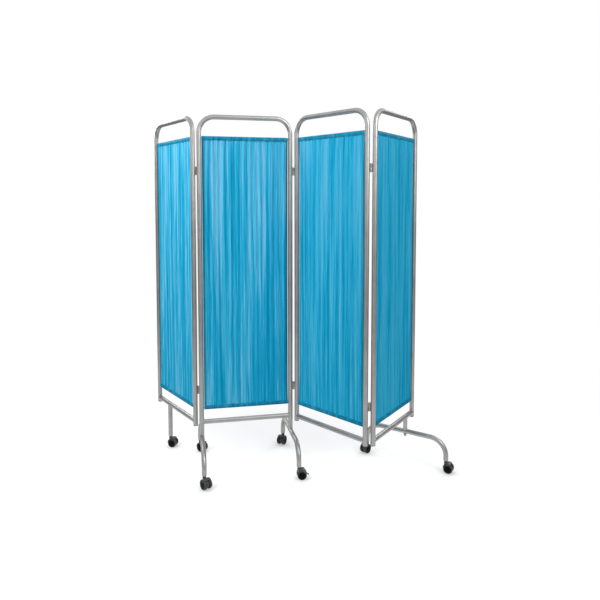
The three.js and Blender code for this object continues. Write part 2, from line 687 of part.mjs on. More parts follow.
// The screen stands with the middle of its footprint over the origin.
const screen = new THREE.Group();
screen.add(panel2);
screen.updateMatrixWorld(true);
const middle = new THREE.Box3().setFromObject(screen, true).getCenter(new THREE.Vector3());
panel2.position.set(-middle.x, -middle.y, 0);

export default screen;
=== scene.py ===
"""The looks of a four-panel ward privacy screen on wheels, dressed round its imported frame.

Metres, +Z up. Each panel has a frame of its own: X from its left to its right post, Y to the rear.
"""
import json
import math
import random

import bmesh
import bpy
import numpy as np
from mathutils import Matrix, Vector


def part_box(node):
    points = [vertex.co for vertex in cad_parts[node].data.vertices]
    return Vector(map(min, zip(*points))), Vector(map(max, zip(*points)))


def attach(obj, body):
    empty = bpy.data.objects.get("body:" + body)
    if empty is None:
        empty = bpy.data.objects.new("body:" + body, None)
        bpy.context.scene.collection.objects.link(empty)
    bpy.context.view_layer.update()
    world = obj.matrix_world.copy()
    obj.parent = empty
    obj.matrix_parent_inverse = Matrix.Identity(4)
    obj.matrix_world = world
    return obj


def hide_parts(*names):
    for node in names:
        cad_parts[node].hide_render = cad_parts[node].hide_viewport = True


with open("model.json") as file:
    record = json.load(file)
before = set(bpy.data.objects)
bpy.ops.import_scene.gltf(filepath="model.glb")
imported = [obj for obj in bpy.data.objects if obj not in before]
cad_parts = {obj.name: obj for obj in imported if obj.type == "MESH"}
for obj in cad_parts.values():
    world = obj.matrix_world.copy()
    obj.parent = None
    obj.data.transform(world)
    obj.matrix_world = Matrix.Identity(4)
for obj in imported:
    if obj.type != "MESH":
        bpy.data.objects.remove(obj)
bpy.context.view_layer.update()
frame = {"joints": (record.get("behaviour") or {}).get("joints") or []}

PIVOTS = {joint["name"]: Vector(joint["pos_m"]) for joint in frame["joints"]}
PANELS = (1, 2, 3, 4)
CASTERS = range(1, 8)
UP = Vector((0, 0, 1))

# Camera: its place from the foot of the second panel's left post, and its angles in radians
CAMERA_REACH = (-0.124, -3.0823, 1.3956)
CAMERA_YAW = 0.20857
CAMERA_PITCH = 0.06206
CAMERA_LENS = 35.4
CAMERA_SHIFT_Y = -0.1

# Frame tubes
TUBE_RADIUS = 0.0125
TUBE_WALL = 0.0015
CORNER_RADIUS = 0.078
RAIL_RADIUS = 0.0125
STUB_RADIUS = 0.011
BOW_BEND_RADIUS = 0.085
SEAT_GAP = 0.0003
BUSH_RADIUS = 0.0106
SOCKET_DEPTH = 0.02
END_ROUNDING = 0.0006

# Weld beads
WELD_RADIUS = 0.0014
WELD_THINNING = 0.7
WELD_THINNING_POWER = 6
WELD_RIPPLES = 32
WELD_RIPPLE_SIZE = 0.12

# End plugs; the dome's heights over the post's end are at its middle, its shoulder and its rim
PLUG_DOME_HEIGHTS = (0.0001, 0.0005, 0.0014)
PLUG_SHOULDER = 0.0016
PLUG_FLANGE = 0.003
PLUG_DEPTH = 0.014
PLUG_ROUNDING = 0.0005

# Domed nut under the last foot bow
NUT_RADIUS = 0.008
NUT_HEIGHT = 0.008
NUT_BEVEL = 0.0005
DOME_RADIUS = 0.006
DOME_SEAT = 0.004

# Hinges
BARREL_RADIUS = 0.0058
BARREL_LENGTH = 0.0209
BARREL_ROUNDING = 0.0008
PIN_HEAD_RADII = (0.0034, 0.0024)
PIN_HEAD_DEPTH = 0.0004
PIN_HEAD_RISE = 0.0001
HINGE_WEB_HEIGHT = 0.015
HINGE_WEB_THICKNESS = 0.004
HINGE_WEB_LAP = 0.0022
HINGE_BEVEL = 0.0004

# Cloth
CLOTH_THICKNESS = 0.0007
SIDE_GAP = 0.0015
SIDE_HEM = 0.009
SIDE_TURN = 0.0055
COLUMNS = 260
ROWS = 72
ROW_EASING = 0.45

# Folds, as (folds across, share of the reach, drift); waves, as (terms, fewest across, most across)
FOLD_SETS = ((14, 1.0, 0.5), (9, 0.42, 0.8), (24, 0.24, 0.9))
FOLD_REACH = 0.0038
FOLD_SIZE = 0.7
FOLD_SWELL = 0.6
FOLD_SEED = 100
DRIFT_WAVES = (4, 0.6, 2.6)
DRIFT_RISE = 0.45
SWELL_WAVES = (4, 1.2, 5.5)
SWELL_RISE = 0.7
FINE_FOLDS = 41
FINE_REACH = 0.0006
FINE_WAVES = (4, 1.0, 5.0)
FINE_DRIFT = 0.9
FINE_RISE = 0.5
SECOND_FINE_COUNT = 1.37
SECOND_FINE_SHARE = 0.5
WAVE_RISES = (0.15, 0.7)
WAVE_STRENGTHS = (0.5, 1)

# How the folds change near the hems and the side edges
HEM_FADE = 0.05
HEM_CALM = 0.5
SIDE_CALM = 0.7
FINE_SHARE = 0.45
FINE_SHARE_AT_HEM = 1.1

# Hems round the rods
ROD_RADIUS = 0.003
ROD_ROUNDING = 0.0006
ROD_LAP = 0.005
HEM_HEIGHT = 0.022
HEM_STEPS = 12
HEM_SEED = 700
RUFFLE_WAVES = (4, 22, 48)
SEAM_WAVES = (3, 9, 17)
HEM_RIPPLE = 0.0008
HEM_HALF_THICKNESS = 0.0009
HEM_SWELL = 0.0036
HEM_SWELL_POWER = 0.8
HEM_RUFFLE = 0.0005
SEAM_WANDER = 0.0016
SEAM_RUFFLE = 0.0011
SEAM_FADE = 0.006
SETTLING_POWER = 1.5
TUCK_DEPTH = 0.006

# Stitches
STITCH_SHARE = 0.12
STITCH_LENGTH = 0.003
STITCH_STEP = 0.0047
STITCH_MARGIN = 0.003
STITCH_RADIUS = 0.00026
STITCH_ARCH = 0.00026
STITCH_SINK = 0.00006
STITCH_TAPER = 0.55
STITCH_RINGS = 5

# Casters: stem, boss and web
STEM_RADIUS = 0.0055
STEM_LENGTH = 0.018
STEM_LAP = 0.002
STEM_ROUNDING = 0.0009
BOSS_RADIUS = 0.009
BOSS_DEPTH = 0.022
BOSS_ROUNDING = 0.0009
WEB_RADIUS = 0.019
WEB_THICKNESS = 0.014
WEB_ROUNDING = 0.001
WEDGE_LAP = 0.0008
WEDGE_STEPS = 12
HOOD_BEVEL = 0.0003

# Wheels: the face as (radius, depth), the tread as (radius lost, distance from the inner face)
WHEEL_SIDE_GAP = 0.0005
WHEEL_WIDTH = 0.016
WHEEL_FACE = (
    (0, 0), (0.0062, 0.0002), (0.0068, 0.0012), (0.0172, 0.0018), (0.0182, 0.0009), (0.0202, 0.0009)
)
WHEEL_TREAD = ((0.0008, 0.013), (0, 0.008), (0.0002, 0.001), (0.001, 0))
WHEEL_ROUNDING = 0.0009
WHEEL_CAP_RADIUS = 0.0186
AXLE_RADIUS = 0.0035
AXLE_HALF_LENGTH = 0.0078
AXLE_DIP = 0.0004

# Fenders, their angles in degrees round the axle
FENDER_INNER_RADIUS = 0.0262
FENDER_THICKNESS = 0.0018
FENDER_WIDTH = 0.04
FENDER_START = 60
FENDER_END = 175
FENDER_STEPS = 28
FENDER_CROWN = 0.0003
FENDER_FLAT = 0.55
FENDER_LIP = 0.0009
FENDER_CORNER = 0.0022
FENDER_END_SHARE = 0.55

# Brake pedal
PEDAL_WIDTH = 0.011
PEDAL_LENGTH = 0.02
PEDAL_THICKNESS = 0.003
PEDAL_LIP = 0.004
PEDAL_BARREL_RADIUS = 0.003
PEDAL_BARREL_ROUNDING = 0.0005
PEDAL_DROOP = 45
PEDAL_BEVEL = 0.0004

# Cloth colours from deep to pale, and their places on the ramp; the pale streaks are partly the
# cloth's own uneven tone and partly painted sheen. Each panel has its own pale place, so that the
# lit panels show more painted sheen than the shaded ones
CLOTH_COLOURS = ((0.003, 0.28, 0.48), (0.02, 0.355, 0.57), (0.14, 0.465, 0.675))
# The hem cloth is darker: painted shade on the double-layered hems and on the side edges beside the
# posts
SHADED_HEM_COLOURS = ((0.004, 0.16, 0.285), (0.01, 0.21, 0.35), (0.035, 0.28, 0.43))
DEEP_PLACE = 0.425
MIDDLE_PLACE = 0.5
PAINTED_SHEEN_PLACES = {1: 0.565, 2: 0.59, 3: 0.68, 4: 0.85}
SHADED_HEM_PALE_PLACE = 0.62
# Painted light from above: the tone shifts towards pale at the top and towards deep at the bottom
# by up to this much
PAINTED_TOP_LIGHT_RISE = 0.022

# Cloth patterns: noise cells in each metre along X, Y and Z, and each pattern's share of the tone
STREAK_CELLS = (60, 60, 1.0)
STREAK_SHARE = 0.42
THREAD_CELLS = (420, 420, 6)
THREAD_SHARE = 0.3
BAND_CELLS = (13, 13, 0.9)
BAND_SHARE = 0.28
SWAY_CELLS = (5, 5, 2.2)
SWAY_REACH = 0.024
WEAVE_SCALE = 420.0
SHIFT_SLANT = 0.6

# Floor; its fade is told by the distance from the origin
FLOOR_REACH = 30.0
FLOOR_COLOUR = (0.52, 0.52, 0.52, 1)
FADE_SPAN = (1.3, 2.6)
FADE_TONE = 0.4
GLOW_LOSS = 0.9
# Painted contact shade: ambient occlusion within this reach darkens the floor near the wheels
CONTACT_REACH = 0.07
CONTACT_SPAN = (0.5, 1.0)
PAINTED_CONTACT_SHADE = 0.7
CONTACT_SAMPLES = 16

# Studio flags and world
FLAG_REACH = 2.7
FLAG_SIDES = 48
FLAG_HEIGHTS = (0.02, 1.75)
FLAG_RISE = 1.0
FLAG_RISE_POWER = 4
FLAG_SIDE = Vector((0.94, 0.34, 0))
FLAG_COLOUR = (0.3, 0.29, 0.285, 1)
WORLD_LIGHT = 0.3

# Counts and angles of the meshes
TUBE_SIDES = 40
TURN_SIDES = 48
BARREL_SIDES = 32
ROD_SIDES = 24
WELD_SIDES = 10
WELD_STEPS = 96
STITCH_SIDES = 6
BEND_STEPS = 14
DOME_STEPS = 8
SHARP_ANGLE = math.radians(38)
MERGE_DISTANCE = 1e-7
EDGE_DIVISOR = 2.1

# The panels of each hinge's two halves
HINGE_PANELS = {
    "1_2": {"pin_half": 2, "socket_half": 1},
    "2_3": {"pin_half": 2, "socket_half": 3},
    "3_4": {"pin_half": 3, "socket_half": 4},
}


# Places, read from the frame

def middle(node):
    low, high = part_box(node)
    return (low + high) / 2


def place_of(origin, along):
    """The matrix of a frame with its X level along a direction and its origin on the floor."""
    along = Vector((along.x, along.y, 0)).normalized()
    rear = UP.cross(along)
    place = Matrix((along, rear, UP)).transposed().to_4x4()
    place.translation = (origin.x, origin.y, 0)
    return place


def posts_of(number):
    """Points on a panel's left and right posts; panel 2's stand on its foot bows."""
    foot = "foot_bow" if number == 2 else "end_plug"
    return [middle(f"panel_{number}_{side}_{foot}") for side in ("left", "right")]


PANEL_PLACES = {}
for number in PANELS:
    left_post, right_post = posts_of(number)
    PANEL_PLACES[number] = place_of(left_post, right_post - left_post)


def place_along(number, node):
    """How far along its panel a node's middle lies."""
    return (PANEL_PLACES[number].inverted() @ middle(node)).x


LEFT_POST, RIGHT_POST = posts_of(2)
POST_SPACING = (RIGHT_POST - LEFT_POST).length
TOP_BAR_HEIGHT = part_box("panel_2_frame")[1].z - TUBE_RADIUS
POST_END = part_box("panel_1_left_end_plug")[0].z
RAIL_HEIGHT = middle("panel_1_bottom_rail").z
BOW_LOW, BOW_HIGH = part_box("panel_2_left_foot_bow")
BOW_HEIGHT = BOW_HIGH.z - TUBE_RADIUS
BOW_HALF_SPAN = LEFT_POST.y - BOW_LOW.y - TUBE_RADIUS
FOOT_END = BOW_LOW.z
CURTAIN_BOTTOM, CURTAIN_TOP = (corner.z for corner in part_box("panel_2_curtain"))
ROD_HEIGHTS = {side: middle(f"panel_2_curtain_rod_{side}").z for side in ("top", "bottom")}
ROD_START = TUBE_RADIUS - ROD_LAP
CLOTH_LEFT = TUBE_RADIUS + SIDE_GAP
CLOTH_WIDTH = POST_SPACING - 2 * CLOTH_LEFT


# Shapes

class Shape:
    """The points and faces of one piece, gathered part by part before its mesh is made."""

    def __init__(self):
        self.points = []
        self.faces = []

    def add(self, part, place=None):
        points, faces = part
        start = len(self.points)
        self.points += [place @ Vector(point) if place else Vector(point) for point in points]
        self.faces += [[start + corner for corner in face] for face in faces]
        return self


def skin(rings, is_closed=False):
    """Joins rings of points with quads. The ends are capped, or the last ring joins the first."""
    count = len(rings[0])
    points = [point for ring in rings for point in ring]
    faces = []
    rows = len(rings) if is_closed else len(rings) - 1
    for row in range(rows):
        near = row * count
        far = (row + 1) % len(rings) * count
        for k in range(count):
            after = (k + 1) % count
            faces.append((near + k, near + after, far + after, far + k))
    if not is_closed:
        faces.append(tuple(reversed(range(count))))
        faces.append(tuple((len(rings) - 1) * count + k for k in range(count)))
    return points, faces


def circle(centre, side, across, radius, sides):
    turns = (2 * math.pi * k / sides for k in range(sides))
    return [centre + side * (radius * math.cos(a)) + across * (radius * math.sin(a)) for a in turns]


def level_circle(height, radius, sides):
    return circle(Vector((0, 0, height)), Vector((1, 0, 0)), Vector((0, 1, 0)), radius, sides)


def bent_path(corners, bend_radius):
    """Points and directions along straight runs with round bends at the inner corners."""
    corners = [Vector(corner) for corner in corners]
    stations = [(corners[0], (corners[1] - corners[0]).normalized())]
    for before, corner, after in zip(corners, corners[1:], corners[2:]):
        way = (corner - before).normalized()
        onward = (after - corner).normalized()
        turn = way.angle(onward)
        inward = (onward - way * way.dot(onward)).normalized()
        start = corner - way * (bend_radius * math.tan(turn / 2))
        for k in range(BEND_STEPS + 1):
            a = turn * k / BEND_STEPS
            point = start + way * (bend_radius * math.sin(a))
            point += inward * (bend_radius * (1 - math.cos(a)))
            stations.append((point, way * math.cos(a) + inward * math.sin(a)))
    stations.append((corners[-1], (corners[-1] - corners[-2]).normalized()))
    return stations


def tube(corners, radius, across=(0, 1, 0), bend_radius=0.0, trim=None, is_rounded=False):
    """A round tube whose bends lie in the plane square to across.

    trim gives the place of each point of the two end rings; rounded ends have a small radius.
    """
    across = Vector(across)
    stations = bent_path(corners, bend_radius)
    rings = [circle(at, way.cross(across), across, radius, TUBE_SIDES) for at, way in stations]
    if trim:
        rings[0] = [trim(point, 0) for point in rings[0]]
        rings[-1] = [trim(point, 1) for point in rings[-1]]
    if is_rounded:
        for end, inward in ((0, 1), (-1, -1)):
            at, way = stations[end]
            side = way.cross(across)
            near = circle(at + way * (END_ROUNDING * inward), side, across, radius, TUBE_SIDES)
            lip = circle(at, side, across, radius - END_ROUNDING, TUBE_SIDES)
            rings = [lip, near] + rings[1:] if end == 0 else rings[:-1] + [near, lip]
    return skin(rings)


def softened(corners, size, steps=4):
    """An outline or profile whose inner corners are rounded, within a share of their edges."""
    corners = [Vector(corner) for corner in corners]
    made = [corners[0]]
    for before, corner, after in zip(corners, corners[1:], corners[2:]):
        back, onward = before - corner, after - corner
        start = corner + back.normalized() * min(size, back.length / EDGE_DIVISOR)
        end = corner + onward.normalized() * min(size, onward.length / EDGE_DIVISOR)
        for k in range(steps + 1):
            share = k / steps
            made.append(start.lerp(corner, share).lerp(corner.lerp(end, share), share))
    made.append(corners[-1])
    return made


def turned(profile, sides=TURN_SIDES):
    """A solid turned about Z from (radius, height) pairs that start and end on the axis."""
    first, *rings, last = profile
    points = [Vector((0, 0, first[1])), Vector((0, 0, last[1]))]
    faces = []
    for radius, height in rings:
        points += level_circle(height, radius, sides)
    for k in range(sides):
        after = (k + 1) % sides
        faces.append((0, 2 + after, 2 + k))
        for row in range(len(rings) - 1):
            low = 2 + row * sides
            high = low + sides
            faces.append((low + k, low + after, high + after, high + k))
        top = 2 + (len(rings) - 1) * sides
        faces.append((1, top + k, top + after))
    return points, faces


def bar_profile(radius, low, high):
    return [(0, low), (radius, low), (radius, high), (0, high)]


def round_bar(radius, low, high, rounding, sides=TURN_SIDES):
    """A round bar along Z whose rims are rounded."""
    return turned(softened(bar_profile(radius, low, high), rounding), sides)


def ring_turned(profile, sides=TURN_SIDES):
    """A ring turned about Z from a closed profile of (radius, height) pairs."""
    rings = []
    for k in range(sides):
        a = 2 * math.pi * k / sides
        rings.append([Vector((r * math.cos(a), r * math.sin(a), z)) for r, z in profile])
    return skin(rings, is_closed=True)


def prism(outline, half):
    """A flat outline in X and Z, thickened along Y by half to each side."""
    return skin([[Vector((x, y, z)) for x, z in outline] for y in (-half, half)])


def bead(loop):
    """A rippled bead along a closed loop, thin at its sides in Y, where folded neighbours pass."""
    centre = sum(loop, Vector()) / len(loop)
    reach = max(abs(point.y) for point in loop)
    rings = []
    for k, point in enumerate(loop):
        way = (loop[(k + 1) % len(loop)] - loop[k - 1]).normalized()
        side = point - centre
        side = (side - way * side.dot(way)).normalized()
        ripple = math.sin(2 * math.pi * WELD_RIPPLES * k / len(loop))
        size = WELD_RADIUS * (1 + WELD_RIPPLE_SIZE * ripple)
        size *= 1 - WELD_THINNING * (abs(point.y) / reach) ** WELD_THINNING_POWER
        rings.append(circle(point, side, way.cross(side), size, WELD_SIDES))
    return skin(rings, is_closed=True)


def crossing(radius, carrier_radius):
    """The loop where a tube along X from a carrier along Z leaves the carrier's surface."""
    loop = []
    for k in range(WELD_STEPS):
        a = 2 * math.pi * k / WELD_STEPS
        y = radius * math.sin(a)
        x = math.sqrt(max(carrier_radius ** 2 - y ** 2, 0))
        loop.append(Vector((x, y, radius * math.cos(a))))
    return loop


def turn_to(along, carrier, at):
    """The matrix that lays a crossing's tube along one axis, off a carrier along another."""
    along, carrier = Vector(along), Vector(carrier)
    place = Matrix((along, carrier.cross(along), carrier)).transposed().to_4x4()
    place.translation = at
    return place


# Materials

class Nodes:
    """A material's node tree, with short calls for the nodes that the finishes share."""

    def __init__(self, name):
        self.material = bpy.data.materials.new(name)
        self.material.use_nodes = True
        self.tree = self.material.node_tree
        self.shader = self.tree.nodes["Principled BSDF"]
        self.place = self.new("TexCoord").outputs["Object"]

    def new(self, kind, **values):
        node = self.tree.nodes.new(f"ShaderNode{kind}")
        for name, value in values.items():
            node.inputs[name].default_value = value
        return node

    def link(self, source, target):
        self.tree.links.new(source, target)

    def set(self, **values):
        for name, value in values.items():
            socket = name.replace("_", " ").title().replace("Ior", "IOR")
            self.shader.inputs[socket].default_value = value

    def noise(self, scale=1.0, detail=3.0, stretch=(1, 1, 1), place=None):
        mapping = self.new("Mapping", Scale=stretch)
        self.link(place or self.place, mapping.inputs["Vector"])
        node = self.new("TexNoise", Scale=scale, Detail=detail)
        self.link(mapping.outputs["Vector"], node.inputs["Vector"])
        return node.outputs["Fac"]

    def height(self):
        node = self.new("SeparateXYZ")
        self.link(self.place, node.inputs["Vector"])
        return node.outputs["Z"]

    def move(self, by):
        node = self.new("VectorMath")
        self.link(self.place, node.inputs[0])
        node.inputs[1].default_value = by
        self.place = node.outputs["Vector"]

    def swayed(self):
        """The place shifted sideways by a slow noise, so that streaks aren't ruler-straight."""
        node = self.new("CombineXYZ")
        sway = self.noise(detail=2.0, stretch=SWAY_CELLS)
        self.link(self.maths("MULTIPLY", sway, SWAY_REACH), node.inputs["X"])
        moved = self.new("VectorMath")
        self.link(self.place, moved.inputs[0])
        self.link(node.outputs["Vector"], moved.inputs[1])
        return moved.outputs["Vector"]

    def threads(self, direction, scale):
        node = self.new("TexWave", Scale=scale, Distortion=0.6)
        node.bands_direction = direction
        self.link(self.place, node.inputs["Vector"])
        return node.outputs["Fac"]

    def ranged(self, value, low, high, start=0.3, end=0.7):
        spans = {"From Min": start, "From Max": end, "To Min": low, "To Max": high}
        node = self.new("MapRange", **spans)
        self.link(value, node.inputs["Value"])
        return node.outputs["Result"]

    def maths(self, operation, first, second):
        node = self.new("Math")
        node.operation = operation
        for socket, value in zip(node.inputs, (first, second)):
            if isinstance(value, (int, float)):
                socket.default_value = value
            else:
                self.link(value, socket)
        return node.outputs["Value"]

    def colours(self, value, low, high, start=0.3, end=0.7, between=()):
        """A colour ramp between two places, with (place, colour) stops between them."""
        node = self.new("ValToRGB")
        stops = node.color_ramp.elements
        stops[0].position = start
        stops[0].color = (*low, 1)
        stops[1].position = end
        stops[1].color = (*high, 1)
        for place, colour in between:
            stops.new(place).color = (*colour, 1)
        self.link(value, node.inputs["Fac"])
        return node.outputs["Color"]

    def finish(self, colour, roughness):
        self.link(colour, self.shader.inputs["Base Color"])
        self.link(roughness, self.shader.inputs["Roughness"])

    def bump(self, height, strength, distance):
        node = self.new("Bump", Strength=strength, Distance=distance)
        self.link(height, node.inputs["Height"])
        self.link(node.outputs["Normal"], self.shader.inputs["Normal"])


def metal(name, dark, light, roughness, grain):
    """Satin steel with faint patches of tone and fine polishing marks."""
    made = Nodes(name)
    made.set(metallic=1.0)
    patches = made.noise(scale=9.0, detail=4.0)
    marks = made.noise(scale=260.0, detail=2.0, stretch=(1, 1, 6))
    made.finish(made.colours(patches, dark, light), made.ranged(marks, *roughness))
    made.bump(marks, grain, distance=0.0001)
    return made.material


def plastic(name, dark, light, roughness, grain, gloss):
    """Moulded plastic with a fine grain and slightly dusty patches."""
    made = Nodes(name)
    made.set(specular_ior_level=gloss)
    patches = made.noise(scale=70.0, detail=5.0)
    made.finish(made.colours(patches, dark, light), made.ranged(patches, *roughness))
    made.bump(made.noise(scale=1500.0, detail=1.0), grain, distance=0.00006)
    return made.material


def fabric(name, colours, pale_at, shift=0.0):
    """Woven polyester with swaying streaks, fine threads and broad bands; its pale streaks are
    partly its own uneven tone and partly painted sheen, and painted light makes it paler towards
    the top.
    """
    deep, mid, pale = colours
    made = Nodes(name)
    # Painted light: the cloth grows paler with height, as if lit from above
    painted_top_light = made.ranged(made.height(), -PAINTED_TOP_LIGHT_RISE, PAINTED_TOP_LIGHT_RISE, CURTAIN_BOTTOM, CURTAIN_TOP)
    made.move((shift, 0, SHIFT_SLANT * shift))
    made.set(specular_ior_level=0.03)
    made.set(sheen_weight=0.02, sheen_roughness=0.35, sheen_tint=(0.3, 0.75, 1, 1))
    streaks = made.noise(detail=3.0, stretch=STREAK_CELLS, place=made.swayed())
    threads = made.noise(detail=2.0, stretch=THREAD_CELLS)
    bands = made.noise(detail=2.0, stretch=BAND_CELLS)
    tone = painted_top_light
    for pattern, share in ((streaks, STREAK_SHARE), (threads, THREAD_SHARE), (bands, BAND_SHARE)):
        tone = made.maths("ADD", tone, made.maths("MULTIPLY", pattern, share))
    # The pale end of the ramp is partly the cloth's own uneven tone and partly painted sheen
    colour = made.colours(tone, deep, pale, DEEP_PLACE, pale_at, between=[(MIDDLE_PLACE, mid)])
    made.finish(colour, made.ranged(bands, low=0.44, high=0.56))
    weave = made.maths("MULTIPLY", made.threads("X", WEAVE_SCALE), made.threads("Z", WEAVE_SCALE))
    made.bump(weave, strength=0.2, distance=0.0002)
    return made.material


def thread(name, dark, light):
    """Sewing thread with the light and dark of its twist."""
    made = Nodes(name)
    twist = made.noise(scale=900.0, detail=1.0)
    made.finish(made.colours(twist, dark, light), made.ranged(twist, low=0.6, high=0.8))
    return made.material


# Dark and light tone, span of roughness and strength of the grain, and the gloss of plastics
STEEL = metal("satin_steel", (0.33, 0.33, 0.325), (0.42, 0.42, 0.41), (0.39, 0.49), 0.025)
WELD_STEEL = metal("weld_steel", (0.27, 0.265, 0.255), (0.38, 0.375, 0.36), (0.34, 0.46), 0.2)
HINGE_STEEL = metal("hinge_steel", (0.25, 0.24, 0.22), (0.38, 0.365, 0.34), (0.38, 0.5), 0.15)
ROD_STEEL = metal("rod_steel", (0.3, 0.3, 0.3), (0.4, 0.4, 0.4), (0.3, 0.4), 0.1)
BLACK_NYLON = plastic(
    "black_nylon", (0.002, 0.002, 0.0024), (0.005, 0.005, 0.0058), (0.34, 0.46), 0.12, gloss=0.06
)
# A lighter grey than the caps: painted sheen on the black nylon treads and rims
PAINTED_SHEEN_TREAD_NYLON = plastic(
    "tread_nylon_painted_sheen", (0.02, 0.02, 0.021), (0.045, 0.045, 0.046), (0.36, 0.5), 0.3, gloss=0.45
)
# Grey nylon; on the caster hoods and brake pedals this grey is painted sheen on black plastic
GREY_NYLON_AND_PAINTED_SHEEN = plastic(
    "grey_nylon_and_painted_sheen", (0.05, 0.051, 0.053), (0.08, 0.081, 0.083), (0.4, 0.55), 0.25, gloss=0.4
)
PLUG_PLASTIC = plastic(
    "plug_plastic", (0.17, 0.17, 0.17), (0.24, 0.24, 0.24), (0.45, 0.6), 0.25, gloss=0.4
)
# One cloth per panel, each with its own amount of painted sheen: more on the lit panels, less on
# the shaded ones
CURTAIN_CLOTHS = {
    number: fabric(f"curtain_cloth_{number}", CLOTH_COLOURS, pale_at, shift=number)
    for number, pale_at in PAINTED_SHEEN_PLACES.items()
}
# Darker cloth for the hems and side edges: painted shade
SHADED_HEM_CLOTH = fabric("hem_cloth_painted_shade", SHADED_HEM_COLOURS, SHADED_HEM_PALE_PLACE)
CURTAIN_THREAD = thread("curtain_thread", (0.02, 0.26, 0.42), (0.05, 0.36, 0.54))


# Pieces

def new_object(name, data):
    made = bpy.data.objects.new(name, data)
    bpy.context.scene.collection.objects.link(made)
    return made


def piece(name, shape, material, body, slot, place, nodes=(), bevel=0.0):
    """Makes the mesh of a shape, gives it its finish and lets it ride on its body."""
    mesh = bpy.data.meshes.new(name)
    mesh.from_pydata(shape.points, [], shape.faces)
    work = bmesh.new()
    work.from_mesh(mesh)
    bmesh.ops.remove_doubles(work, verts=work.verts, dist=MERGE_DISTANCE)
    bmesh.ops.recalc_face_normals(work, faces=work.faces)
    work.to_mesh(mesh)
    work.free()
    mesh.shade_smooth()
    mesh.set_sharp_from_angle(angle=SHARP_ANGLE)
    mesh.materials.append(material)
    made = new_object(name, mesh)
    made.matrix_world = place
    if bevel:
        edge = made.modifiers.new("edge", "BEVEL")
        edge.width = bevel
        edge.segments = 2
        edge.limit_method = "ANGLE"
        edge.angle_limit = SHARP_ANGLE
        edge.harden_normals = True
    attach(made, body)
    if nodes:
        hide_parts(*nodes)
    return made


def panel_piece(number, name, shape, material, slot, nodes=(), bevel=0.0):
    """A piece that is drawn in a panel's own frame and rides on that panel."""
    return piece(name, shape, material, f"panel_{number}", slot, PANEL_PLACES[number], nodes, bevel)


def frame_tube(number, node, part):
    """A finished tube that stands for a node."""
    panel_piece(number, f"{node}_tube", Shape().add(part), STEEL, "frame_tube", [node])


def coped(radius):
    """How far a tube's end point lies from the carrier's axis, at an offset across it."""
    return lambda offset: math.sqrt(max((radius + SEAT_GAP) ** 2 - offset ** 2, 0))


def make_frame(number):
    """The bent frame tube. Panel 2's posts are coped on to the foot bows."""
    stands_on_bows = number == 2
    foot = BOW_HEIGHT if stands_on_bows else POST_END + PLUG_FLANGE + SEAT_GAP
    top = TOP_BAR_HEIGHT
    corners = [(0, 0, foot), (0, 0, top), (POST_SPACING, 0, top), (POST_SPACING, 0, foot)]
    reach = coped(TUBE_RADIUS)

    def on_bow(point, end):
        offset = point.x - (POST_SPACING if end else 0)
        return Vector((point.x, point.y, BOW_HEIGHT + reach(offset)))

    trim = on_bow if stands_on_bows else None
    bent = tube(corners, TUBE_RADIUS, (0, 1, 0), CORNER_RADIUS, trim, is_rounded=not stands_on_bows)
    frame_tube(number, f"panel_{number}_frame", bent)


def make_rail(number):
    """The bottom rail, its ends coped round the posts."""
    reach = coped(TUBE_RADIUS)

    def round_post(point, end):
        x = POST_SPACING - reach(point.y) if end else reach(point.y)
        return Vector((x, point.y, point.z))

    ends = [(0, 0, RAIL_HEIGHT), (POST_SPACING, 0, RAIL_HEIGHT)]
    bar = tube(ends, RAIL_RADIUS, trim=round_post)
    frame_tube(number, f"panel_{number}_bottom_rail", bar)


def rail_joints():
    loop = crossing(RAIL_RADIUS, TUBE_RADIUS + SEAT_GAP)
    yield loop, turn_to((1, 0, 0), (0, 0, 1), (0, 0, RAIL_HEIGHT))
    yield loop, turn_to((-1, 0, 0), (0, 0, 1), (POST_SPACING, 0, RAIL_HEIGHT))


def bow_joints():
    loop = crossing(TUBE_RADIUS, TUBE_RADIUS + SEAT_GAP)
    for x in (0, POST_SPACING):
        yield loop, turn_to((0, 0, 1), (0, 1, 0), (x, 0, BOW_HEIGHT))


def under_rail_joint(radius, x):
    """Where a tube of some radius hangs under the rail."""
    loop = crossing(radius, RAIL_RADIUS + SEAT_GAP)
    return loop, turn_to((0, 0, -1), (1, 0, 0), (x, 0, RAIL_HEIGHT))


def make_welds(number, more=()):
    """The weld beads at the rail's ends, and at the feet."""
    shape = Shape()
    for loop, place in [*rail_joints(), *more]:
        shape.add(bead(loop), place)
    panel_piece(number, f"panel_{number}_welds", shape, WELD_STEEL, "frame_tube")


def make_plugs(number):
    """Plugs with a slightly domed flange in the open post ends."""
    crown, shoulder, rim = (POST_END + height for height in PLUG_DOME_HEIGHTS)
    top = POST_END + PLUG_FLANGE
    inner = TUBE_RADIUS - TUBE_WALL - SEAT_GAP
    profile = [(0, crown), (TUBE_RADIUS - PLUG_SHOULDER, shoulder), (TUBE_RADIUS, rim)]
    profile += [(TUBE_RADIUS, top), (inner, top), (inner, top + PLUG_DEPTH), (0, top + PLUG_DEPTH)]
    for side, x in (("left", 0), ("right", POST_SPACING)):
        node = f"panel_{number}_{side}_end_plug"
        shape = Shape().add(turned(softened(profile, PLUG_ROUNDING)), Matrix.Translation((x, 0, 0)))
        panel_piece(number, f"{node}_cap", shape, PLUG_PLASTIC, "post_plug", [node])


def bush():
    """The bush in a foot tube's end, which takes a caster's stem."""
    bore = STEM_RADIUS + SEAT_GAP
    top = FOOT_END + SOCKET_DEPTH
    return ring_turned([(bore, FOOT_END), (BUSH_RADIUS, FOOT_END), (BUSH_RADIUS, top), (bore, top)])


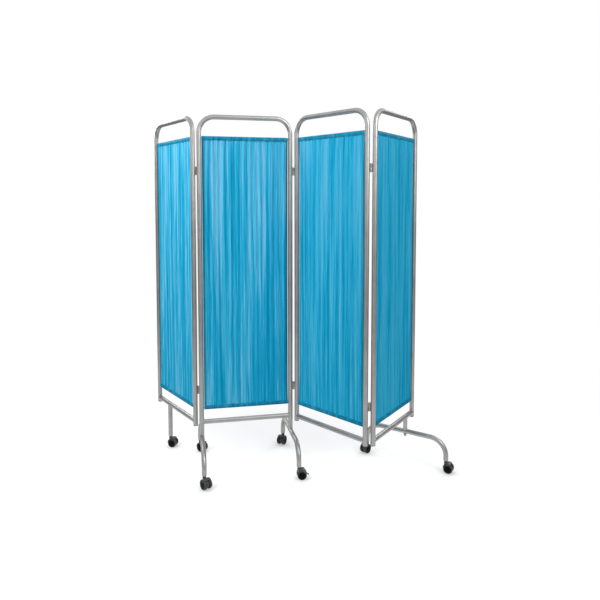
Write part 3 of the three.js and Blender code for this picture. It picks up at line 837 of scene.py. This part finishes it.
def make_bow(node, number, x):
    """A foot bow: one tube bent down at both ends, with a bush in each."""
    foot, reach = FOOT_END + END_ROUNDING, BOW_HALF_SPAN
    corners = [(x, -reach, foot), (x, -reach, BOW_HEIGHT), (x, reach, BOW_HEIGHT), (x, reach, foot)]
    bow = tube(corners, TUBE_RADIUS, (1, 0, 0), BOW_BEND_RADIUS, is_rounded=True)
    frame_tube(number, node, bow)
    bushes = Shape()
    for y in (-reach, reach):
        bushes.add(bush(), Matrix.Translation((x, y, 0)))
    panel_piece(number, f"{node}_bushes", bushes, GREY_NYLON_AND_PAINTED_SHEEN, "post_plug")


def make_leg():
    """The straight leg under the first panel's rail, with its bush; returns where it is welded."""
    x = place_along(1, "panel_1_leg")
    reach = coped(RAIL_RADIUS)

    def under_rail(point, end):
        return Vector((point.x, point.y, RAIL_HEIGHT - reach(point.y))) if end else point

    ends = [(x, 0, FOOT_END), (x, 0, RAIL_HEIGHT)]
    frame_tube(1, "panel_1_leg", tube(ends, TUBE_RADIUS, trim=under_rail))
    ring = Shape().add(bush(), Matrix.Translation((x, 0, 0)))
    panel_piece(1, "panel_1_leg_bush", ring, GREY_NYLON_AND_PAINTED_SHEEN, "post_plug")
    return under_rail_joint(TUBE_RADIUS, x)


def make_stub():
    """The stub between the last panel's rail and its bow, and the domed nut; returns its weld."""
    x = place_along(4, "panel_4_foot_bow")
    reach_bow = coped(TUBE_RADIUS)
    reach_rail = coped(RAIL_RADIUS)

    def trim(point, end):
        z = RAIL_HEIGHT - reach_rail(point.y) if end else BOW_HEIGHT + reach_bow(point.x - x)
        return Vector((point.x, point.y, z))

    ends = [(x, 0, BOW_HEIGHT), (x, 0, RAIL_HEIGHT)]
    frame_tube(4, "panel_4_bow_stub", tube(ends, STUB_RADIUS, trim=trim))
    seat = BOW_HEIGHT - TUBE_RADIUS - SEAT_GAP
    node = "panel_4_bow_bolt"
    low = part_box(node)[0].z
    nut = skin([level_circle(z, NUT_RADIUS, 6) for z in (seat - NUT_HEIGHT, seat)])
    dome = [(0, low)]
    for k in range(1, DOME_STEPS + 1):
        a = math.radians(90 * k / DOME_STEPS)
        dome.append((DOME_RADIUS * math.sin(a), low + DOME_RADIUS * (1 - math.cos(a))))
    dome += [(DOME_RADIUS, seat - DOME_SEAT), (0, seat - DOME_SEAT)]
    lay = Matrix.Translation((x, 0, 0))
    shape = Shape().add(nut, lay).add(turned(dome), lay)
    panel_piece(4, f"{node}_nut", shape, HINGE_STEEL, "hinge_steel", [node], NUT_BEVEL)
    return under_rail_joint(STUB_RADIUS, x)


# Hinges

def make_hinge(joint, level, kind, number):
    """One hinge half: a rounded barrel with its web, and a riveted pin end."""
    node = f"hinge_{joint}_{level}_{kind}"
    pivot = PIVOTS[f"fold_{joint}"]
    low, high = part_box(node)
    posts = (PANEL_PLACES[number].translation, PANEL_PLACES[number] @ Vector((POST_SPACING, 0, 0)))
    post = min(posts, key=lambda post: (post.xy - pivot.xy).length)
    carries_pin = kind == "pin_half"
    bottom = low.z if carries_pin else high.z - BARREL_LENGTH
    top = bottom + BARREL_LENGTH
    shape = Shape().add(round_bar(BARREL_RADIUS, bottom, top, BARREL_ROUNDING, BARREL_SIDES))
    rim, out = (bottom, -1) if carries_pin else (top, 1)
    head_end = rim + PIN_HEAD_RISE * out
    head_root = head_end - PIN_HEAD_DEPTH * out
    wide, narrow = PIN_HEAD_RADII
    head = [(0, head_root), (wide, head_root), (narrow, head_end), (0, head_end)]
    shape.add(turned(head, ROD_SIDES))
    web_middle = (bottom + top) / 2
    web_end = (post.xy - pivot.xy).length - TUBE_RADIUS + HINGE_WEB_LAP
    web_low, web_high = web_middle - HINGE_WEB_HEIGHT / 2, web_middle + HINGE_WEB_HEIGHT / 2
    shape.add(prism(bar_profile(web_end, web_low, web_high), HINGE_WEB_THICKNESS / 2))
    body, place = f"panel_{number}", place_of(pivot, post - pivot)
    piece(f"{node}_knuckle", shape, HINGE_STEEL, body, "hinge_steel", place, [node], HINGE_BEVEL)


# Curtains

def waves(rng, count, low, high):
    """A few slow sine waves: counts across and up, phase and strength."""
    spans = ((low, high), WAVE_RISES, (0, 1), WAVE_STRENGTHS)
    return [[rng.uniform(*span) for span in spans] for _ in range(count)]


def summed(terms, u, t):
    total = sum(strength for *_, strength in terms)
    return sum(s * np.sin(2 * np.pi * (a * u + b * t + p)) for a, b, p, s in terms) / total


def pleats(number):
    """How far the cloth stands from the panel plane, as a function of its place across and up."""
    rng = random.Random(FOLD_SEED + number)
    drifts = [waves(rng, *DRIFT_WAVES) for _ in FOLD_SETS]
    swells = [waves(rng, *SWELL_WAVES) for _ in FOLD_SETS]
    fine_drift = waves(rng, *FINE_WAVES)
    starts = [rng.random() for _ in FOLD_SETS]

    def stand(u, t, hem_distance):
        near_hem = np.exp(-hem_distance / HEM_FADE)
        folds = 0
        for (count, share, slant), drift, swell, start in zip(FOLD_SETS, drifts, swells, starts):
            at = count * u + start + slant * summed(drift, u, DRIFT_RISE * t)
            size = FOLD_SIZE + FOLD_SWELL * summed(swell, u, SWELL_RISE * t)
            folds = folds + share * size * np.sin(2 * np.pi * at)
        fine = FINE_FOLDS * u + FINE_DRIFT * summed(fine_drift, u, FINE_RISE * t)
        second = np.sin(2 * np.pi * (SECOND_FINE_COUNT * fine + starts[0]))
        fine_folds = np.sin(2 * np.pi * fine) + SECOND_FINE_SHARE * second
        edge = np.minimum(u, 1 - u) * CLOTH_WIDTH
        turned_back = SIDE_TURN * np.exp(-((edge / SIDE_HEM) ** 2))
        inner = 1 - SIDE_CALM * np.exp(-edge / SIDE_HEM)
        fold_reach = FOLD_REACH * (1 - HEM_CALM * near_hem) * inner
        fine_reach = FINE_REACH * (FINE_SHARE + FINE_SHARE_AT_HEM * near_hem)
        return fold_reach * folds + fine_reach * fine_folds + turned_back * (1 - near_hem)

    return stand


class Hem:
    """A rod pocket: a loop of cloth round the rod, ruffled where it is gathered to the sheet."""

    def __init__(self, number, side, stand):
        self.number, self.side, self.stand = number, side, stand
        self.out = 1 if side == "top" else -1
        self.rod = ROD_HEIGHTS[side]
        self.seam = (CURTAIN_TOP if side == "top" else CURTAIN_BOTTOM) - self.out * HEM_HEIGHT
        rng = random.Random(HEM_SEED + 10 * number + self.out)
        self.ruffle = waves(rng, *RUFFLE_WAVES)
        self.wander = waves(rng, *SEAM_WAVES)

    def ripple(self, u):
        return summed(self.ruffle, u, 0)

    def middle(self, u, share):
        """How far the pocket's middle stands out, at a share of its height from the seam."""
        seam_y = self.stand(u, np.array(1.0 if self.side == "top" else 0.0), np.array(0.0))
        return seam_y * (1 - share) ** SETTLING_POWER + HEM_RIPPLE * self.ripple(u) * (1 - share)

    def point(self, u, share, face):
        """A point of the pocket's front (-1) or rear (1) cloth."""
        ripple = float(self.ripple(u))
        round_rod = min(share * HEM_HEIGHT / (2 * abs(self.rod - self.seam)), 1.0)
        swell = math.sin(math.pi * round_rod) ** HEM_SWELL_POWER
        thick = HEM_HALF_THICKNESS + HEM_SWELL * swell + HEM_RUFFLE * ripple * (1 - share)
        wander = float(summed(self.wander, u, 0))
        lift = (SEAM_WANDER * wander + SEAM_RUFFLE * ripple) * (1 - share) ** 2
        y = float(self.middle(np.array(u), share)) + face * thick
        z = self.seam + self.out * (share * HEM_HEIGHT + lift)
        return Vector((CLOTH_LEFT + CLOTH_WIDTH * u, y, z))

    def make(self):
        shares = [(-1, k / HEM_STEPS) for k in range(HEM_STEPS)]
        shares += [(1, 1 - k / HEM_STEPS) for k in range(HEM_STEPS)]
        places = [k / COLUMNS for k in range(COLUMNS + 1)]
        rings = [[self.point(u, share, face) for face, share in shares] for u in places]
        name = f"panel_{self.number}_{self.side}_hem"
        # The pocket takes the darker hem cloth: painted shade
        parts = [
            (name, Shape().add(skin(rings)), SHADED_HEM_CLOTH),
            (f"{name}_stitching", self.stitches(), CURTAIN_THREAD),
        ]
        return [panel_piece(self.number, *part, "curtain_cloth") for part in parts]

    def stitches(self):
        """A row of stitches beside the seam, on the front and the rear."""
        shape = Shape()
        last = STITCH_RINGS - 1
        for face in (-1, 1):
            for k in range(int((CLOTH_WIDTH - 2 * STITCH_MARGIN) / STITCH_STEP)):
                first = (STITCH_MARGIN + k * STITCH_STEP) / CLOTH_WIDTH
                rings = []
                for ring in range(STITCH_RINGS):
                    share = ring / last
                    at = self.point(first + share * STITCH_LENGTH / CLOTH_WIDTH, STITCH_SHARE, face)
                    at.y += face * (STITCH_ARCH * math.sin(math.pi * share) - STITCH_SINK)
                    size = STITCH_RADIUS * (STITCH_TAPER if ring in (0, last) else 1)
                    rings.append(circle(at, Vector((0, 1, 0)), UP, size, STITCH_SIDES))
                shape.add(skin(rings))
        return shape


def make_cloth(number, stand, hems):
    """The gathered sheet, tucked into both hems, as one surface given a thickness."""
    low = CURTAIN_BOTTOM + HEM_HEIGHT
    high = CURTAIN_TOP - HEM_HEIGHT
    rows = np.linspace(0, 1, ROWS + 1)
    rows = (1 - ROW_EASING) * rows + ROW_EASING * (0.5 - 0.5 * np.cos(np.pi * rows))
    tuck = TUCK_DEPTH * np.array([1, 0.5])
    heights = np.concatenate([low - tuck, low + (high - low) * rows, (high + tuck)[::-1]])
    u, z = np.meshgrid(np.linspace(0, 1, COLUMNS + 1), heights)
    t = np.clip((z - low) / (high - low), 0, 1)
    y = stand(u, t, np.maximum(np.minimum(z - low, high - z), 0))
    for hem in hems:
        depth = (z - hem.seam) * hem.out
        tucked = hem.middle(u, np.clip(depth, 0, None) / HEM_HEIGHT)
        near = np.exp(np.minimum(depth, 0) / SEAM_FADE)
        y = np.where(depth > 0, tucked, y + HEM_RIPPLE * hem.ripple(u) * near)
    shape = Shape()
    points = np.stack([CLOTH_LEFT + CLOTH_WIDTH * u, y, z], axis=-1).reshape(-1, 3)
    shape.points = [tuple(point) for point in points]
    across = COLUMNS + 1
    shape.faces = [
        (r * across + c, r * across + c + 1, (r + 1) * across + c + 1, (r + 1) * across + c)
        for r in range(len(heights) - 1)
        for c in range(COLUMNS)
    ]
    node = f"panel_{number}_curtain"
    material = CURTAIN_CLOTHS[number]
    cloth = panel_piece(number, f"{node}_cloth", shape, material, "curtain_cloth", [node])
    cloth.data.materials.append(SHADED_HEM_CLOTH)
    # Faces near the side edges take the darker hem cloth: painted shade beside the posts
    for face in cloth.data.polygons:
        x = face.center.x - CLOTH_LEFT
        face.material_index = int(min(x, CLOTH_WIDTH - x) < SIDE_HEM)
    solid = cloth.modifiers.new("thickness", "SOLIDIFY")
    solid.thickness = CLOTH_THICKNESS
    solid.offset = 0
    return cloth


def make_curtain(number):
    """The two rods, the sheet between them and its hems."""
    stand = pleats(number)
    for side, height in ROD_HEIGHTS.items():
        bar = round_bar(ROD_RADIUS, ROD_START, POST_SPACING - ROD_START, ROD_ROUNDING, ROD_SIDES)
        level = Matrix.Translation((0, 0, height)) @ Matrix.Rotation(math.pi / 2, 4, "Y")
        node = f"panel_{number}_curtain_rod_{side}"
        shape = Shape().add(bar, level)
        panel_piece(number, f"{node}_bar", shape, ROD_STEEL, "curtain_rod", [node])
    hems = [Hem(number, side, stand) for side in ROD_HEIGHTS]
    cloth = make_cloth(number, stand, hems)
    [made for hem in hems for made in hem.make()]


# Casters

def caster_place(number):
    """A caster's frame at its stem, how far its axle trails behind, and the axle's height."""
    stem = PIVOTS[f"caster_{number}_swivel"]
    axle = PIVOTS[f"caster_{number}_roll"]
    trail = axle - stem
    return place_of(stem, trail), trail.xy.length, axle.z


def along_axle(trail, axle, face=-1):
    """The matrix that lays a turned solid along the axle, its top towards one face."""
    return Matrix.Translation((trail, 0, axle)) @ Matrix.Rotation(-face * math.pi / 2, 4, "X")


def wheel_profile(radius):
    """Half of a wheel's section, from the middle of its outer face to its inner face."""
    inner = WEB_THICKNESS / 2 + WHEEL_SIDE_GAP
    outer = inner + WHEEL_WIDTH
    corners = [(reach, outer - depth) for reach, depth in WHEEL_FACE]
    corners += [(radius - drop, inner + distance) for drop, distance in WHEEL_TREAD]
    corners += [(AXLE_RADIUS, inner), (0, inner - AXLE_DIP)]
    return softened(corners, WHEEL_ROUNDING)


def make_wheels(number, place, trail, axle):
    """The twin wheels on their axle: black caps inside rims and treads that are painted a lighter
    grey, as painted sheen.
    """
    shape = Shape()
    for face in (1, -1):
        shape.add(turned(wheel_profile(axle)), along_axle(trail, axle, face))
    rod = bar_profile(AXLE_RADIUS, -AXLE_HALF_LENGTH, AXLE_HALF_LENGTH)
    shape.add(turned(rod, ROD_SIDES), along_axle(trail, axle))
    node = f"caster_{number}_wheels"
    body = f"caster_{number}_wheel_pair"
    pair = piece(f"{node}_pair", shape, BLACK_NYLON, body, "caster_wheel", place, [node])
    pair.data.materials.append(PAINTED_SHEEN_TREAD_NYLON)
    # Faces beyond the caps take the lighter tread grey: painted sheen
    for face in pair.data.polygons:
        reach = math.hypot(face.center.x - trail, face.center.z - axle)
        face.material_index = int(reach > WHEEL_CAP_RADIUS)


def fender_section():
    """The fender's section as (distance from the axle, place along the axle), with rounded rims."""
    half = FENDER_WIDTH / 2
    inner = FENDER_INNER_RADIUS
    outer = inner + FENDER_THICKNESS
    return [
        (inner, -half),
        (inner + FENDER_CROWN, -half * FENDER_FLAT),
        (inner + FENDER_CROWN, half * FENDER_FLAT),
        (inner, half),
        (inner + FENDER_LIP, half),
        (outer, half - FENDER_CORNER),
        (outer, 0),
        (outer, FENDER_CORNER - half),
        (inner + FENDER_LIP, -half),
    ]


def fender_angles(steps):
    span = FENDER_END - FENDER_START
    return [math.radians(FENDER_START + span * k / steps) for k in range(steps + 1)]


def make_hood(number, place, trail, axle):
    """The hood: a fender over both wheels, a web between them and the boss of the swivel stem."""
    rings = []
    middle_radius = FENDER_INNER_RADIUS + FENDER_THICKNESS / 2
    for k, a in enumerate(fender_angles(FENDER_STEPS)):
        thin = FENDER_END_SHARE if k in (0, FENDER_STEPS) else 1
        ring = []
        for radius, along in fender_section():
            radius = middle_radius + (radius - middle_radius) * thin
            ring.append(Vector((trail + radius * math.cos(a), along, axle + radius * math.sin(a))))
        rings.append(ring)
    shape = Shape().add(skin(rings))
    half = WEB_THICKNESS / 2
    shape.add(round_bar(WEB_RADIUS, -half, half, WEB_ROUNDING), along_axle(trail, axle))
    inside = FENDER_INNER_RADIUS + WEDGE_LAP
    wedge = [(trail, axle)]
    for a in fender_angles(WEDGE_STEPS):
        wedge.append((trail + inside * math.cos(a), axle + inside * math.sin(a)))
    shape.add(prism(wedge, half))
    top = FOOT_END - SEAT_GAP
    shape.add(round_bar(BOSS_RADIUS, top - BOSS_DEPTH, top, BOSS_ROUNDING))
    # The hood's grey is painted sheen on black plastic
    node = f"caster_{number}_hood"
    body = f"caster_{number}_swivel"
    piece(f"{node}_shell", shape, GREY_NYLON_AND_PAINTED_SHEEN, body, "caster_housing", place, [node], HOOD_BEVEL)
    stem = round_bar(STEM_RADIUS, top - STEM_LAP, top + STEM_LENGTH, STEM_ROUNDING, BARREL_SIDES)
    piece(f"caster_{number}_stem", Shape().add(stem), ROD_STEEL, body, "hinge_steel", place)


def make_pedal(number, place):
    """The brake pedal: a barrel, a plate and a turned-up lip."""
    pivot = place.inverted() @ PIVOTS[f"caster_{number}_brake"]
    half = PEDAL_WIDTH / 2
    thick = PEDAL_THICKNESS / 2
    outline = [(0, -thick), (PEDAL_LENGTH, -thick), (PEDAL_LENGTH + PEDAL_THICKNESS, PEDAL_LIP)]
    outline += [(PEDAL_LENGTH, PEDAL_LIP), (PEDAL_LENGTH - PEDAL_THICKNESS, thick), (0, thick)]
    at_pivot = Matrix.Translation(pivot)
    plate = prism(outline, half)
    barrel = round_bar(PEDAL_BARREL_RADIUS, -half, half, PEDAL_BARREL_ROUNDING, ROD_SIDES)
    shape = Shape().add(plate, at_pivot @ Matrix.Rotation(math.radians(PEDAL_DROOP), 4, "Y"))
    shape.add(barrel, at_pivot @ Matrix.Rotation(math.pi / 2, 4, "X"))
    # The pedal's grey is painted sheen on black plastic
    node = f"caster_{number}_brake_pedal"
    body = f"caster_{number}_brake"
    piece(f"{node}_lever", shape, GREY_NYLON_AND_PAINTED_SHEEN, body, "caster_housing", place, [node], PEDAL_BEVEL)


# The whole screen

for number in PANELS:
    make_frame(number)
    make_rail(number)
    make_curtain(number)
    if number != 2:
        make_plugs(number)

make_bow("panel_2_left_foot_bow", 2, 0)
make_bow("panel_2_right_foot_bow", 2, POST_SPACING)
make_bow("panel_4_foot_bow", 4, place_along(4, "panel_4_foot_bow"))
make_welds(1, [make_leg()])
make_welds(2, bow_joints())
make_welds(3)
make_welds(4, [make_stub()])

for joint, halves in HINGE_PANELS.items():
    for level in ("upper", "lower"):
        for kind, number in halves.items():
            make_hinge(joint, level, kind, number)

for number in CASTERS:
    place, trail, axle = caster_place(number)
    make_wheels(number, place, trail, axle)
    make_hood(number, place, trail, axle)
    if f"caster_{number}_brake" in PIVOTS:
        make_pedal(number, place)


# Stage

def stage_piece(name, points, faces, material):
    """A mesh that belongs to the studio, not to the object."""
    mesh = bpy.data.meshes.new(name)
    mesh.from_pydata(points, [], faces)
    mesh.materials.append(material)
    made = new_object(name, mesh)
    return made


def seen_rays(tree):
    """1 for rays from the camera, metal or glass, and 0 for the others."""
    path = tree.nodes.new("ShaderNodeLightPath")
    seen = path.outputs["Is Camera Ray"]
    for ray in ("Is Glossy Ray", "Is Transmission Ray"):
        either = tree.nodes.new("ShaderNodeMath")
        either.operation = "MAXIMUM"
        tree.links.new(seen, either.inputs[0])
        tree.links.new(path.outputs[ray], either.inputs[1])
        seen = either.outputs["Value"]
    return seen


def floor_finish():
    """White to the camera, with a soft shadow under the object and painted contact shade near its
    wheels.
    """
    made = Nodes("floor")
    made.set(base_color=FLOOR_COLOUR, roughness=0.9, specular_ior_level=0.1)
    distance = made.new("VectorMath")
    distance.operation = "LENGTH"
    made.link(made.place, distance.inputs[0])
    fade = made.ranged(distance.outputs["Value"], FADE_TONE, 0.0, *FADE_SPAN)
    # Painted contact shade: ambient occlusion darkens the glow and the lit tone near the wheels
    near = made.new("AmbientOcclusion", Distance=CONTACT_REACH)
    near.samples = CONTACT_SAMPLES
    painted_contact_shade = made.ranged(near.outputs["AO"], PAINTED_CONTACT_SHADE, 1.0, *CONTACT_SPAN)
    glow = made.new("Emission")
    lit = made.maths("SUBTRACT", 1.0, made.maths("MULTIPLY", fade, GLOW_LOSS))
    made.link(made.maths("MULTIPLY", lit, painted_contact_shade), glow.inputs["Strength"])
    shadowed = made.new("BsdfDiffuse")
    shade = made.new("CombineColor")
    shadowed_tone = made.maths("MULTIPLY", fade, painted_contact_shade)
    for channel in shade.inputs:
        made.link(shadowed_tone, channel)
    made.link(shade.outputs["Color"], shadowed.inputs["Color"])
    both = made.new("AddShader")
    made.link(glow.outputs["Emission"], both.inputs[0])
    made.link(shadowed.outputs["BSDF"], both.inputs[1])
    mix = made.new("MixShader")
    made.link(seen_rays(made.tree), mix.inputs["Fac"])
    made.link(made.shader.outputs["BSDF"], mix.inputs[1])
    made.link(both.outputs["Shader"], mix.inputs[2])
    made.link(mix.outputs["Shader"], made.tree.nodes["Material Output"].inputs["Surface"])
    return made.material


def make_floor():
    """A pale floor that fades into the white background and keeps a soft shadow."""
    reach = FLOOR_REACH
    corners = [(-reach, -reach, 0), (reach, -reach, 0), (reach, reach, 0), (-reach, reach, 0)]
    stage_piece("floor", corners, [(0, 1, 2, 3)], floor_finish())


def make_flags():
    """A ring of dark studio flags, higher on one side, which only reflections see."""
    low, high = (level_circle(height, FLAG_REACH, FLAG_SIDES) for height in FLAG_HEIGHTS)
    for point in high:
        point.z += FLAG_RISE * max(0, point.normalized().dot(FLAG_SIDE)) ** FLAG_RISE_POWER
    points, faces = skin([low, high])
    ends = 2
    made = Nodes("studio_flags")
    made.set(base_color=FLAG_COLOUR, roughness=0.9)
    flags = stage_piece("studio_flags", points, faces[:-ends], made.material)
    flags.visible_camera = flags.visible_diffuse = False
    flags.visible_shadow = flags.visible_transmission = False


# Light and camera

def make_world():
    """A dim white light from all sides, and plain white where a ray sees the background."""
    world = bpy.data.worlds.new("studio")
    world.use_nodes = True
    bpy.context.scene.world = world
    tree = world.node_tree
    tree.nodes.clear()
    mix = tree.nodes.new("ShaderNodeMixShader")
    tree.links.new(seen_rays(tree), mix.inputs["Fac"])
    for socket, strength in ((1, WORLD_LIGHT), (2, 1.0)):
        background = tree.nodes.new("ShaderNodeBackground")
        background.inputs["Color"].default_value = (1, 1, 1, 1)
        background.inputs["Strength"].default_value = strength
        tree.links.new(background.outputs["Background"], mix.inputs[socket])
    out = tree.nodes.new("ShaderNodeOutputWorld")
    tree.links.new(mix.outputs["Shader"], out.inputs["Surface"])


def make_lamp(name, at, towards, size, power, is_reflected=True, is_lighting=True):
    """A rectangular lamp. It may be left out of reflections, or show in reflections alone."""
    data = bpy.data.lights.new(name, "AREA")
    data.shape = "RECTANGLE"
    data.size, data.size_y = size
    data.energy = power
    lamp = new_object(name, data)
    lamp.visible_glossy = is_reflected
    lamp.visible_diffuse = is_lighting
    lamp.location = at
    lamp.rotation_euler = (Vector(towards) - Vector(at)).to_track_quat("-Z", "Y").to_euler()


def make_camera():
    """The camera at the photograph's viewing angle."""
    data = bpy.data.cameras.new("camera")
    data.lens = CAMERA_LENS
    data.shift_y = CAMERA_SHIFT_Y
    camera = new_object("camera", data)
    camera.location = PANEL_PLACES[2].translation + Vector(CAMERA_REACH)
    camera.rotation_euler = (math.pi / 2 - CAMERA_PITCH, 0, -CAMERA_YAW)
    bpy.context.scene.camera = camera


make_camera()
make_floor()
make_flags()
make_world()
make_lamp("key", (-2.6, -1.1, 2.95), (0, 0, 1.1), (1.6, 2.2), 106, is_reflected=False)
make_lamp("strip", (-2.2, -2.0, 1.75), (0, 0, 1.5), (0.6, 1.3), 16, is_lighting=False)
make_lamp("fill", (1.9, -3.2, 3.1), (0, 0, 1.1), (1.8, 2.2), 94)
make_lamp("back", (3.0, 2.4, 2.6), (0, 0, 1.0), (1.6, 1.6), 66)
make_lamp("rear", (-2.0, 3.3, 2.7), (0, 0, 1.0), (1.6, 1.6), 80)
bpy.context.scene.view_settings.view_transform = "Standard"
